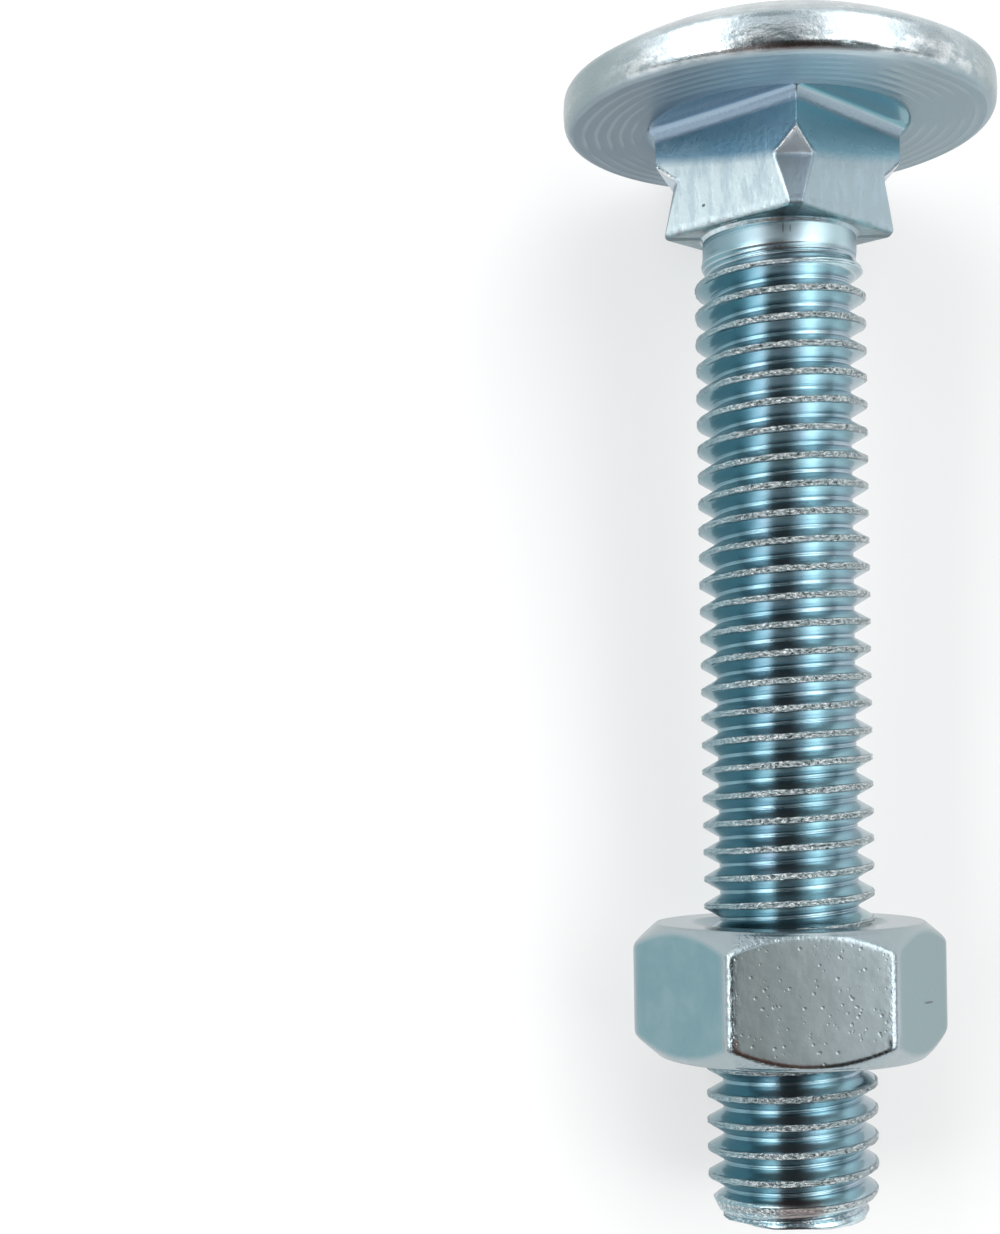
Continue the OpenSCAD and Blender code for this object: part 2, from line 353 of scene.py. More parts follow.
def threadedShank():
    # station = phase + pitch * (turn number + angle / full turn) + profile offset, and the ends are flat
    k = thread
    offsets, radii = threadProfile()
    perTurn = len(offsets)
    firstTurn = math.floor((k["foot"] - k["phase"]) / k["pitch"]) - 2
    lastTurn = math.ceil((k["length"] - k["phase"]) / k["pitch"]) + 1
    turns = np.arange(firstTurn, lastTurn + 1)
    angle = np.arange(k["columns"]) / k["columns"] * fullTurn
    rowStation = (k["phase"] + turns[:, None] * k["pitch"] + offsets[None, :]).ravel()
    full = np.tile(radii, len(turns))[:, None]
    raw = rowStation[:, None] + k["pitch"] * angle[None, :] / fullTurn
    formed = np.clip((raw - k["start"]) / k["runOut"], 0, 1)
    formed = formed * formed * (3 - 2 * formed)
    radius = k["stubRadius"] + (full - k["stubRadius"]) * formed
    crest = np.clip((full - (k["crestRadius"] - 0.07)) / 0.04, 0, 1) * formed ** 6

    # a rolled crest is ragged: it wanders a little inwards and along the bolt
    random = np.random.default_rng(k["seed"])
    wander = random.normal(size=raw.shape)
    drift = random.normal(size=raw.shape)
    drift = np.clip((drift + np.roll(drift, 1, axis=1)) * 0.7, -k["driftLimit"], k["driftLimit"])
    radius = radius - k["ragged"] * crest * np.clip(wander + 0.4, 0, 2)
    wavy = raw + k["ragged"] * crest * drift * 0.5

    chamfer = k["tipRadius"] + (k["length"] - raw) * (k["crestRadius"] - k["tipRadius"]) / k["tipChamfer"]
    station = np.clip(wavy, k["foot"], k["length"])
    radius = softMin([radius, chamfer], k["tipSharpness"])
    overTip = np.clip((raw - k["length"]) / k["pitch"], 0, 1)
    overFoot = np.clip((k["foot"] - raw) / k["pitch"], 0, 1)
    radius = np.where(overTip > 0, k["tipRadius"] * (1 - overTip), radius)
    radius = np.where(overFoot > 0, k["stubRadius"] * (1 - overFoot), radius)
    points = place(station, radius, angle[None, :])
    onEnd = (raw >= k["length"]) | (raw <= k["foot"])
    offset = np.broadcast_to(np.abs(np.tile(offsets, len(turns)))[:, None], radius.shape)
    marks = {
        "station": station,
        "crest": np.where(onEnd, 0, crest),
        "offset": np.where(onEnd, 0.3, offset),
    }
    faces = helixFaces(len(rowStation), k["columns"], perTurn)
    return makePiece("threaded_shank", points.reshape(-1, 3), faces, marks)


# Hexagon nut
nut = {
    "columns": 40,              # per side
    "crowding": 0.8,
    "halfWidth": 6.4,
    "height": 6.1,
    "cornerSharpness": 7.0,     # rounds the corners
    "edgeSharpness": 10.0,
    "faceRadius": 6.2,
    "chamferAngle": 40,
    "mouthRadius": 4.5,
    "boreGap": 0.06,            # between the two threads, on the radius
    "boreSharpness": 30.0,
    "closeRows": 1.2,           # rows are close from either face to here
    "evenFrom": 1.9,
    "sideReach": 33,            # degrees from the middle of a flat to where its mark ends
    "cornerFade": 0.025,
    "levelFade": 0.3,
}


def hexNut():
    # outside radius = soft minimum of six flats and two chamfer cones; inside is a thread for the bolt's
    k, t = nut, thread
    angle = cornerAngles(6, k["columns"], k["crowding"]) + math.radians(30)
    slope = 1 / math.tan(math.radians(k["chamferAngle"]))
    ends = np.concatenate([
        np.linspace(0, k["closeRows"], 22),
        np.linspace(k["closeRows"], k["evenFrom"], 6)[1:]])
    middle = np.linspace(k["evenFrom"], k["height"] - k["evenFrom"], 9)[1:-1]
    rise = np.concatenate([ends, middle, k["height"] - ends[::-1]])
    flats = flatRadii(k["halfWidth"], angle, 6, 0)
    hexagon = softMin(flats, k["cornerSharpness"])
    cones = [k["faceRadius"] + rise * slope, k["faceRadius"] + (k["height"] - rise) * slope]
    outRadius = softMin([hexagon[None, :], cones[0][:, None], cones[1][:, None]], k["edgeSharpness"])
    outRise = np.repeat(rise[:, None], len(angle), axis=1)
    flatShare = np.linspace(0, 1, 7)[:-1, None]
    nearRadius = k["mouthRadius"] + (outRadius[0][None, :] - k["mouthRadius"]) * flatShare
    farRadius = k["mouthRadius"] + (outRadius[-1][None, :] - k["mouthRadius"]) * flatShare[::-1]
    shellRise = np.concatenate([np.zeros_like(nearRadius), outRise, np.full_like(farRadius, k["height"])])
    shellRadius = np.concatenate([nearRadius, outRadius, farRadius])
    shell = place(nutStation + shellRise, shellRadius, angle[None, :])

    # the inner thread winds like the bolt's, a little larger, and opens into a countersink at each end
    offsets, radii = threadProfile()
    radii = radii + k["boreGap"]
    perTurn = len(offsets)
    firstTurn = math.floor((nutStation - t["phase"]) / t["pitch"]) - 2
    lastTurn = math.ceil((nutStation + k["height"] - t["phase"]) / t["pitch"]) + 1
    turns = np.arange(firstTurn, lastTurn + 1)
    rowStation = (t["phase"] + turns[:, None] * t["pitch"] + offsets[None, :]).ravel()
    start = angle[0]
    wound = (angle - start)[None, :]
    raw = rowStation[:, None] + t["pitch"] * (wound + start) / fullTurn - nutStation
    full = np.tile(radii, len(turns))[:, None]
    inside = np.clip(raw, 0, k["height"])
    sink = np.maximum(k["mouthRadius"] - inside, k["mouthRadius"] - (k["height"] - inside))
    boreRadius = -softMin([-np.broadcast_to(full, raw.shape), -sink], k["boreSharpness"])
    boreRadius = np.where((raw <= 0) | (raw >= k["height"]), k["mouthRadius"], boreRadius)
    bore = place(nutStation + inside, boreRadius, angle[None, :])
    shellFaces = ringFaces(len(shellRise), len(angle))
    boreFaces = helixFaces(len(rowStation), len(angle), perTurn, start=shell.reshape(-1, 3).shape[0])
    points = np.concatenate([shell.reshape(-1, 3), bore.reshape(-1, 3)])
    faces = np.concatenate([shellFaces, boreFaces[:, ::-1]])

    def facing(tilt):
        # 1 on the flat whose middle is tilt degrees from straight up, and 0 past its corners
        toMiddle = np.cos(math.pi - angle - math.radians(tilt))
        return np.clip((toMiddle - math.cos(math.radians(k["sideReach"]))) / 0.03, 0, 1)

    def onShell(values):
        # values for the shell's points, and 0 in the bore
        return np.concatenate([np.broadcast_to(values, shellRise.shape).ravel(), np.zeros(inside.size)])

    pastFace = np.clip((shellRadius - k["faceRadius"] - 0.1) / 0.1, 0, 1)
    even = 1 - np.clip((np.minimum.reduce(flats) - hexagon) / k["cornerFade"], 0, 1)
    depth = np.minimum(cones[0], cones[1])[:, None] - hexagon[None, :]
    level = even[None, :] * np.clip(depth / k["levelFade"], 0, 1)
    level = np.concatenate([np.zeros_like(nearRadius), level, np.zeros_like(farRadius)])
    marks = {
        "rise": np.concatenate([shellRise.ravel(), inside.ravel()]),
        "front": onShell(facing(0) * pastFace),
        "left": onShell(facing(-60)),
        "right": onShell(facing(60)),
        "level": onShell(level),            # 1 on the even part of each flat
    }
    return makePiece("hex_nut", points, faces, marks)


class Wire:
    # a socket that can stand in a formula: each operator adds one Math node
    def __init__(self, graph, socket):
        self.graph, self.socket = graph, socket

    def __add__(self, other):
        return self.graph.math("ADD", self, other)

    def __radd__(self, other):
        return self.graph.math("ADD", other, self)

    def __sub__(self, other):
        return self.graph.math("SUBTRACT", self, other)

    def __rsub__(self, other):
        return self.graph.math("SUBTRACT", other, self)

    def __mul__(self, other):
        return self.graph.math("MULTIPLY", self, other)

    def __rmul__(self, other):
        return self.graph.math("MULTIPLY", other, self)

    def __truediv__(self, other):
        return self.graph.math("DIVIDE", self, other)

    def __rtruediv__(self, other):
        return self.graph.math("DIVIDE", other, self)


class Graph:
    # the nodes of one material or world
    def __init__(self, tree):
        self.tree = tree
        tree.nodes.clear()

    def node(self, kind, settings=None, sockets=None, output=0):
        # one node: its settings first, then the values or links of its sockets, and one output as a Wire
        made = self.tree.nodes.new("ShaderNode" + kind)
        for name, value in (settings or {}).items():
            setattr(made, name, value)
        for name, value in (sockets or {}).items():
            self.feed(made.inputs[name], value)
        return Wire(self, made.outputs[output]) if len(made.outputs) else None

    def feed(self, socket, value):
        if isinstance(value, Wire):
            self.tree.links.new(value.socket, socket)
        elif socket.type == "RGBA":
            socket.default_value = (*value, 1)
        else:
            socket.default_value = value

    def math(self, operation, a, b=0.0):
        if not isinstance(a, Wire) and not isinstance(b, Wire):
            raise TypeError("numbers alone are worked out in Python")
        return self.node("Math", {"operation": operation}, {0: a, 1: b})

    def most(self, first, *others):
        # the largest of some values
        for other in others:
            first = self.math("MAXIMUM", first, other)
        return first

    def mix(self, share, a, b):
        # colour = a * (1 - share) + b * share
        return self.node("Mix", {"data_type": "RGBA"}, {0: share, 6: a, 7: b}, output=2)

    def smooth(self, value, low, high):
        # 0 at low, 1 at high, and an eased step between; low may be the larger number
        return self.node("MapRange", {"interpolation_type": "SMOOTHSTEP"},
                         {0: value, 1: low, 2: high, 3: 0.0, 4: 1.0})

    def band(self, value, low, lowFull, highFull, high):
        # 0 outside low to high, 1 from lowFull to highFull, and an eased step at either end
        return self.smooth(value, low, lowFull) * self.smooth(value, high, highFull)

    def near(self, value, middle, far, close):
        # 1 where value is nearer to middle than close, 0 past far, and an eased step between
        return self.smooth(self.math("ABSOLUTE", value - middle), far, close)

    def spot(self, a, b, middle, size):
        # 1 inside an ellipse, 0 outside, eased on ((a - middle a) / size a)^2 + ((b - middle b) / size b)^2
        farA = (a - middle[0]) / size[0]
        farB = (b - middle[1]) / size[1]
        return self.smooth(farA * farA + farB * farB, 1.0, 0.5)

    def axisOf(self, vector, number):
        # one of a vector's three parts
        return self.node("SeparateXYZ", {}, {0: vector}, output=number)

    def stretched(self, vector, by):
        # the vector times by, part for part: a pattern on it is drawn out where by is small
        return self.node("VectorMath", {"operation": "MULTIPLY"}, {0: vector, 1: by})

    def noise(self, where, size, detail=3.0, roughness=0.55, distortion=0.0):
        # noise with features about size mm across
        return self.node("TexNoise", {}, {"Vector": where, "Scale": 1 / (size * mm), "Detail": detail,
                                          "Roughness": roughness, "Distortion": distortion})

    def mark(self, name):
        # one of the piece's own attributes
        return self.node("Attribute", {"attribute_name": name}, output="Fac")

    def rays(self, *kinds):
        # 1 for rays of these kinds
        return self.most(*(self.node("LightPath", output=f"Is {kind} Ray") for kind in kinds))


def newMaterial(name):
    # a material, its nodes, the place on the piece, and the distance across the bolt in mm
    material = bpy.data.materials.new(name)
    material.use_nodes = True
    graph = Graph(material.node_tree)
    where = graph.node("TexCoord", output="Object")
    return material, graph, where, graph.axisOf(where, 1) / mm


def finishMetal(graph, colour, roughness, height):
    # the shader: bare metal with what varies linked, and a bump from height in mm
    normal = graph.node("Bump", {}, {"Strength": 1.0, "Distance": mm, "Height": height})
    shader = graph.node("BsdfPrincipled", {}, {
        "Base Color": colour, "Roughness": roughness, "Metallic": 1.0, "Normal": normal})
    graph.node("OutputMaterial", {}, {"Surface": shader})


# Colours of the bright zinc with its thin blue film, and tones that paint light and shade onto each side,
# face and edge
zinc = {
    "teal": (0.35, 0.475, 0.51),
    "blue": (0.37, 0.475, 0.53),
    "lilac": (0.45, 0.48, 0.56),
    "deepTeal": (0.20, 0.38, 0.43),
    "grey": (0.34, 0.41, 0.435),
    # white is for painted highlights and glints
    "white": (0.82, 0.83, 0.83),
    "dark": (0.06, 0.07, 0.07),
    "brown": (0.25, 0.20, 0.19),
    # thread: painted reflections left to right, the plain stub, painted shade for the roots, and the lands
    "threadLeftReflection": (0.15, 0.305, 0.36),
    "threadMiddleShade": (0.22, 0.27, 0.29),
    "threadRightHighlight": (0.53, 0.70, 0.75),
    "stub": (0.26, 0.34, 0.38),
    "root": (0.17, 0.31, 0.37),
    "land": (0.44, 0.50, 0.51),
    # head: painted reflection and shade on the bearing face, recess and rim; the dome's own tones
    "bearing": (0.62, 0.75, 0.82),
    "bearingLeftShade": (0.17, 0.235, 0.29),
    "bearingRightShade": (0.25, 0.34, 0.38),
    "ring": (0.50, 0.58, 0.61),
    "recess": (0.20, 0.40, 0.46),
    "recessLeftShade": (0.25, 0.35, 0.42),
    "dome": (0.27, 0.33, 0.35),
    "domePale": (0.42, 0.48, 0.50),
    "rim": (0.80, 0.85, 0.87),
    "rimShade": (0.42, 0.49, 0.52),
    "rimEndShade": (0.255, 0.325, 0.34),
    # neck: painted light and shade on the flats, under the rim, on the corner cuts, the fillet and the end;
    # brushed streaks
    "neckLeftLit": (0.645, 0.775, 0.815),
    "neckRightShade": (0.35, 0.45, 0.50),
    "neckStreak": (0.40, 0.52, 0.60),
    "neckEndShade": (0.11, 0.20, 0.22),
    "shadeUnderRim": (0.14, 0.30, 0.43),
    "shadeUnderRimRight": (0.19, 0.38, 0.47),
    "fillet": (0.32, 0.43, 0.54),
    "filletRightShade": (0.285, 0.37, 0.435),
    "kiteUpperLit": (0.61, 0.69, 0.75),
    "kiteLowerShade": (0.235, 0.29, 0.34),
    # nut: each flat's tone is painted light and shade
    "nutFront": (0.265, 0.31, 0.315),
    "nutFrontRight": (0.355, 0.42, 0.44),
    "nutLeft": (0.175, 0.305, 0.345),
    "nutLeftPale": (0.22, 0.345, 0.38),
    "nutRight": (0.25, 0.35, 0.37),
}


def zincColour(graph, where, patch, first, second):
    # a slow drift between two tints, with lilac patches
    slow = graph.noise(where, patch, detail=2.0)
    other = graph.noise(where, patch * 0.6, detail=1.0, distortion=0.5)
    colour = graph.mix(graph.smooth(slow, 0.38, 0.62), zinc[first], zinc[second])
    return graph.mix(graph.smooth(other, 0.55, 0.7) * 0.35, colour, zinc["lilac"])


# What stands at one place on the head and neck, in mm: across the bolt, then from the bearing face
headLook = {
    "paintedReflection": (0.4, 3.0, 1.2),           # painted reflection of the camera: middle, where it ends and where it is full, across the rim
    "paintedReflectionDark": (-0.52, -0.42),        # from here on down the rim's edge the painted reflection is dark
    "paintedReflectionBrown": (-0.30, -0.20),       # and from here on brown
    "rimShade": (-0.75, -1.25),          # painted shade: the rim's upper half darkens from the first to the second
    "rimEndShade": (6.0, 9.0),               # and so do its two ends
    # painted shade on the bearing face's sides: where it starts and where it is full
    "bearingShadeSides": (1.0, 5.8),
    "pit": (-3.7, 4.0),
    "pitSize": (0.08, 0.08),
    "ringWaves": 11.0,                  # turned rings under the head, in radians per mm
    "fineRingWaves": 33.0,
}


def headMaterial():
    # layers from the face round the neck to the neck's end; each on... is 1 on its own part of the piece
    k = headLook
    material, graph, where, across = newMaterial("zinc_on_head")
    radial, station, kite, tearAndGlint, shadeUnderRim = (
        graph.mark(name) for name in ("radial", "station", "kite", "tearAndGlint", "shadeUnderRim"))
    grain = graph.noise(where, 0.16, detail=4.0)
    bumps = graph.noise(where, 0.9, detail=4.0, roughness=0.6)
    patches = graph.noise(where, 2.2, detail=3.0)
    onRight = graph.smooth(across, -0.2, 0.2)
    outside = graph.math("ABSOLUTE", across)
    onRim = graph.smooth(station, -0.02, -0.3) * graph.smooth(radial, 8.9, 9.4)
    onFace = graph.band(station, -0.3, -0.04, 0.02, 0.2) * graph.smooth(radial, 5.9, 6.1)
    inRecess = graph.band(station, -0.35, -0.08, -0.02, 0.05) * graph.smooth(radial, 6.12, 6.02)
    onFillet = graph.smooth(station - (onRight * 0.14 - 0.1), 0.0, 0.06)
    onFillet = onFillet * graph.smooth(station, 0.60, 0.50) * graph.smooth(radial, 6.1, 6.0)
    onDome = graph.smooth(station, -1.7, -2.0)
    onNeck = graph.smooth(station, 0.0, 0.3)
    waist, end = neck["waist"], neck["length"]
    tornAndGlint = tearAndGlint * graph.smooth(station, waist + 0.05, waist - 0.25) * onNeck
    onNeckEnd = graph.band(station, end - 0.16, end - 0.03, end + 0.02, end + 0.08)
    worn = graph.smooth(station + (patches - 0.5) * 1.1, end - 0.45, end - 0.1)

    # the rim's texture is drawn out round the head and carries painted highlights, with painted shade on
    # its upper half and two ends; its lowest part has a painted reflection of the camera, a dark line with
    # a brownish edge
    smears = graph.noise(graph.stretched(where, (1.0, 0.38, 0.38)), 0.42, detail=4.0, roughness=0.6)
    rimColour = graph.mix(graph.smooth(smears, 0.40, 0.60), zinc["rimShade"], zinc["rim"])
    rimColour = graph.mix(graph.smooth(station, *k["rimShade"]) * 0.8, rimColour, zinc["rimShade"])
    rimColour = graph.mix(graph.smooth(outside, *k["rimEndShade"]), rimColour, zinc["rimEndShade"])
    paintedReflectionShare = graph.near(across, *k["paintedReflection"]) * graph.smooth(station, *k["paintedReflectionDark"])
    paintedReflectionColour = graph.mix(graph.smooth(station, *k["paintedReflectionBrown"]), zinc["dark"], zinc["brown"])
    rimColour = graph.mix(paintedReflectionShare * graph.smooth(smears, 0.3, 0.45) * 0.9, rimColour, paintedReflectionColour)

    # turned rings of uneven strength under the head
    slow = graph.noise(where, 4.5, detail=1.0)
    rings = graph.math("SINE", radial * k["ringWaves"] + slow * 6.0) * graph.smooth(slow, 0.3, 0.55)
    fineRings = graph.math("SINE", radial * k["fineRingWaves"] + patches * 5.0)

    # bearing face with painted reflection and shade across it, rim, dome with painted highlight streaks,
    # and recess with painted tones left and right
    colour = zincColour(graph, where, 4.0, "grey", "blue")
    # painted reflection: a bright middle, with painted shade on the sides
    bearingShadeSides = graph.mix(onRight, zinc["bearingLeftShade"], zinc["bearingRightShade"])
    bearingColour = graph.mix(graph.smooth(outside, *k["bearingShadeSides"]), zinc["bearing"], bearingShadeSides)
    colour = graph.mix(onFace * 0.85, colour, bearingColour)
    colour = graph.mix(onFace * graph.smooth(rings, 0.2, 0.9) * (0.14 + grain * 0.2), colour, zinc["ring"])
    colour = graph.mix(onRim, colour, rimColour)
    domeShare = graph.smooth(patches * 0.6 + bumps * 0.4, 0.38, 0.62)
    domeColour = graph.mix(domeShare, zinc["dome"], zinc["domePale"])
    # painted highlight streaks on the dome
    domeColour = graph.mix(graph.smooth(smears, 0.58, 0.68) * 0.5, domeColour, zinc["rim"])
    colour = graph.mix(onDome, colour, domeColour)
    # painted shade and reflection in the recess: darker on the left, teal on the right
    colour = graph.mix(inRecess, colour, graph.mix(onRight, zinc["recessLeftShade"], zinc["recess"]))

    # neck: brushed flats painted lit on the left and shaded on the right, painted shade under the rim,
    # corner cuts painted lit above the waist and shaded below, the fillet painted lighter on the left, torn
    # edges with a painted highlight, and painted shade along the end
    streaks = graph.noise(graph.stretched(where, (0.3, 1.0, 1.0)), 0.5, detail=4.0, roughness=0.6)
    # painted light: flats lit on the left and shaded on the right
    flatColour = graph.mix(onRight, zinc["neckLeftLit"], zinc["neckRightShade"])
    flatColour = graph.mix(graph.smooth(streaks, 0.46, 0.62) * 0.5, flatColour, zinc["neckStreak"])
    colour = graph.mix(onNeck, colour, flatColour)
    # painted shade on the flats under the rim
    shadeUnderRimColour = graph.mix(onRight, zinc["shadeUnderRim"], zinc["shadeUnderRimRight"])
    colour = graph.mix(onNeck * shadeUnderRim * (0.7 + patches * 0.4), colour, shadeUnderRimColour)
    belowWaist = graph.smooth(station, waist - 0.1, waist + 0.1)
    # painted light: corner cuts lit above the waist and shaded below
    kiteColour = graph.mix(belowWaist, zinc["kiteUpperLit"], zinc["kiteLowerShade"])
    colour = graph.mix(kite * onNeck * 0.9, colour, kiteColour)
    # painted light on the fillet: lighter on the left than on the right
    colour = graph.mix(onFillet, colour, graph.mix(onRight, zinc["fillet"], zinc["filletRightShade"]))
    # torn edges get a painted white highlight
    colour = graph.mix(tornAndGlint * graph.smooth(bumps, 0.36, 0.48), colour, zinc["white"])
    # painted shade along the neck's end
    colour = graph.mix(onNeckEnd * (0.55 + bumps * 0.5), colour, zinc["neckEndShade"])
    pit = graph.spot(across, station, k["pit"], k["pitSize"])
    colour = graph.mix(pit * 0.85, colour, zinc["dark"])
    colour = graph.mix(worn * graph.smooth(patches, 0.45, 0.38) * 0.8, colour, zinc["deepTeal"])
    colour = graph.mix(worn * graph.smooth(bumps, 0.52, 0.64) * 0.35, colour, zinc["brown"])

    height = grain * (0.0015 + onRim * 0.005 + onNeck * 0.002) + onRim * smears * 0.042
    height = height + onFace * (rings * 0.0095 + fineRings * 0.0022)
    height = height + onDome * (bumps * 0.02 + smears * 0.006)
    height = height + onNeck * (bumps * 0.018 + streaks * 0.02 + grain * 0.004)
    height = height + worn * bumps * 0.05 + tornAndGlint * grain * 0.1
    roughness = 0.2 + grain * 0.1 + onFace * 0.14 + onRim * 0.02 + onNeck * (0.04 + kite * 0.2)
    finishMetal(graph, colour, roughness, height)
    return material


# What stands at one place on the shank, in mm: across the bolt, or from the bearing face
shankLook = {
    # painted reflections across the thread: darker on the left, dark down the middle, pale on the right
    "left": (-1.2, -2.4),
    "middle": (-0.6, 0.8, 0.2),         # painted dark reflection down the thread: middle, where it ends and where it is full
    "pale": (0.2, 1.0, 2.4, 3.2),
    # painted lilac highlight in the roots on the right
    "rootLilacHighlight": (0.8, 2.5),
    "crestGlintFade": (-3.7, -1.7),          # the crests' painted glints fade to the left
    "stub": (6.4, 5.8),
    "stubDull": (6.6, 5.7),
    "scratches": (((-0.34, 5.5), (0.045, 0.3)), ((-0.02, 5.55), (0.035, 0.2))),
    "runOut": (5.9, 6.3, 7.0, 7.6),     # fine ridges with painted highlight lines where the thread starts
    "chamfer": (49.2, 49.5, 50.44, 50.49),
    # a painted brownish reflection in the middle of the tip's chamfer
    "paintedReflection": (-0.2, 1.4, 0.6),
    "paintedReflectionAlong": (48.9, 49.2, 49.9, 50.2),
    "endFace": (50.485, 50.495),
}


def shankMaterial():
    # painted reflections across the thread, painted shade in its roots, painted glints on its crests, and
    # what is at the two ends
    k = shankLook
    material, graph, where, across = newMaterial("zinc_on_thread")
    station, crest, offset = (graph.mark(name) for name in ("station", "crest", "offset"))
    plainColour = zincColour(graph, where, 5.0, "teal", "blue")
    grain = graph.noise(where, 0.12, detail=3.0)
    specks = graph.noise(graph.stretched(where, (1.0, 0.45, 1.0)), 0.10, detail=4.0, roughness=0.7)
    # lines that rolling leaves along the thread: fast across the flank, slow round the bolt
    wound = graph.node("CombineXYZ", {}, {0: offset * 15.0, 1: across * 0.25, 2: station * 0.9})
    lines = graph.node("TexNoise", {}, {"Vector": wound, "Scale": 1.0, "Detail": 3.0, "Roughness": 0.6})
    atRoot = graph.smooth(offset, 0.40, 0.54)
    onCrest = graph.smooth(crest, 0.2, 0.8) * (0.3 + graph.smooth(across, *k["crestGlintFade"]) * 0.7)
    runOut = graph.math("SINE", station * 28.0 + across * 0.9) * graph.band(station, *k["runOut"])

    # painted reflection: darker on the left and dark down the middle
    colour = graph.mix(graph.smooth(across, *k["left"]) * 0.85, plainColour, zinc["threadLeftReflection"])
    colour = graph.mix(graph.near(across, *k["middle"]) * 0.6, colour, zinc["threadMiddleShade"])
    colour = graph.mix(graph.smooth(station, *k["stub"]) * 0.5, colour, zinc["stub"])
    scratch = graph.most(*(graph.spot(across, station, middle, size) for middle, size in k["scratches"]))
    colour = graph.mix(scratch * 0.6, colour, zinc["dark"])
    # painted highlight: pale on the right
    colour = graph.mix(graph.band(across, *k["pale"]) * 0.8, colour, zinc["threadRightHighlight"])
    # painted lilac highlight in the right's roots, and painted shade darkening all roots in streaks
    colour = graph.mix(atRoot * graph.smooth(across, *k["rootLilacHighlight"]) * 0.7, colour, zinc["lilac"])
    colour = graph.mix(atRoot * (0.3 + graph.smooth(lines, 0.46, 0.54) * 0.55), colour, zinc["root"])
    colour = graph.mix(onCrest * 0.7, colour, zinc["land"])
    # painted glints: white specks on the crests
    colour = graph.mix(onCrest * graph.smooth(specks, 0.52, 0.62), colour, zinc["white"])
    colour = graph.mix(onCrest * graph.smooth(specks, 0.46, 0.38), colour, zinc["dark"])

    # painted glints and a painted brownish reflection on the tip's chamfer, and a plain end face
    chamferGlints = graph.band(station, *k["chamfer"]) * graph.smooth(specks, 0.50, 0.60)
    colour = graph.mix(chamferGlints * 0.7, colour, zinc["white"])
    paintedReflection = graph.band(station, *k["paintedReflectionAlong"]) * graph.near(across, *k["paintedReflection"])
    colour = graph.mix(paintedReflection * 0.75, colour, zinc["brown"])
    colour = graph.mix(graph.smooth(station, *k["endFace"]), colour, plainColour)
    # painted highlight along the run-out's ridges
    colour = graph.mix(graph.smooth(runOut, 0.3, 0.9) * 0.3, colour, zinc["white"])

    height = grain * 0.0012 + lines * (0.004 + atRoot * 0.035) + onCrest * specks * 0.14 + runOut * 0.007
    roughness = 0.185 + grain * 0.06 - onCrest * 0.03 + graph.smooth(station, *k["stubDull"]) * 0.24
    finishMetal(graph, colour, roughness, height)
    return material


# The nut's marks, in mm: across the bolt, or from its face on the head's side
nutLook = {
    "frontSpread": (-3.0, 3.0),
    "nick": (5.85, 2.8),
    "nickSize": (0.36, 0.06),
    "nickSlant": 0.13,
    "lowEdge": (4.4, 4.8),              # where the brown and dark lower edge starts
    "lowEdgeBrown": (-0.5, 1.0),        # brown at the first, dark at the second
    "pitSpacing": 0.42,
    "finePitSpacing": 0.27,
}


def nutMaterial():
    # the three flats that the camera sees each get their own painted light and shade; the front one is
    # pitted
    k = nutLook
    material, graph, where, across = newMaterial("zinc_on_nut")
    front, left, right, level, rise = (
        graph.mark(name) for name in ("front", "left", "right", "level", "rise"))
    grain = graph.noise(where, 0.2, detail=4.0)
    tarnish = graph.noise(where, 2.6, detail=4.0, roughness=0.6)
    colour = zincColour(graph, where, 5.0, "grey", "grey")
    # painted light and shade: each flat's own tone, the left one with paler patches
    leftColour = graph.mix(graph.smooth(tarnish, 0.35, 0.7), zinc["nutLeft"], zinc["nutLeftPale"])
    colour = graph.mix(left * level, colour, leftColour)
    colour = graph.mix(right * level, colour, zinc["nutRight"])
    nick = right * graph.spot(across, rise - across * k["nickSlant"], k["nick"], k["nickSize"])
    colour = graph.mix(nick * 0.8, colour, zinc["dark"])
    # painted light and shade on the front flat: darker on the left, lighter on the right
    frontShare = graph.smooth(across, *k["frontSpread"])
    frontColour = graph.mix(frontShare, zinc["nutFront"], zinc["nutFrontRight"])
    colour = graph.mix(front * level, colour, frontColour)
    lowEdge = front * graph.band(level, 0.0, 0.2, 0.5, 0.95) * graph.smooth(rise, *k["lowEdge"])
    edgeColour = graph.mix(graph.smooth(across, *k["lowEdgeBrown"]), zinc["brown"], zinc["dark"])
    colour = graph.mix(lowEdge * 0.9, colour, edgeColour)

    def pits(spacing, part, lean, chosenFrom, deep):
        # small round pits: the middles of some cells of a Voronoi pattern, more of them where lean is high
        sockets = {"Vector": where, "Scale": 1 / (spacing * mm)}
        cells = graph.node("TexVoronoi", {}, sockets, output="Distance")
        chosen = graph.axisOf(graph.node("TexVoronoi", {}, sockets, output="Color"), part)
        return graph.smooth(cells, *deep) * graph.smooth(chosen + lean, *chosenFrom) * front

    large = graph.noise(where, 1.6, detail=2.0)
    lean = (large - 0.5) * 1.2
    pitted = pits(k["pitSpacing"], 0, lean, (0.30, 0.55), (0.24, 0.08))
    finePits = pits(k["finePitSpacing"], 1, lean * -1.0, (0.45, 0.6), (0.26, 0.06))
    height = grain * 0.005 - pitted * 0.014 - finePits * 0.008
    height = height + front * (large + (1 - level) * grain) * 0.03
    finishMetal(graph, colour, 0.17 + grain * 0.1 + level * 0.17, height)
    return material


joint = frame["joints"][0]
for piece, material, body, node, slot in (
        (headAndNeck(), headMaterial(), joint["parent"], "bolt", "zinc_bolt"),
        (threadedShank(), shankMaterial(), joint["parent"], "bolt", "zinc_bolt"),
        (hexNut(), nutMaterial(), joint["child"], "nut", "zinc_nut")):
    piece.data.materials.append(material)
    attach(piece, body)
    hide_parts(node)
print("pieces made")


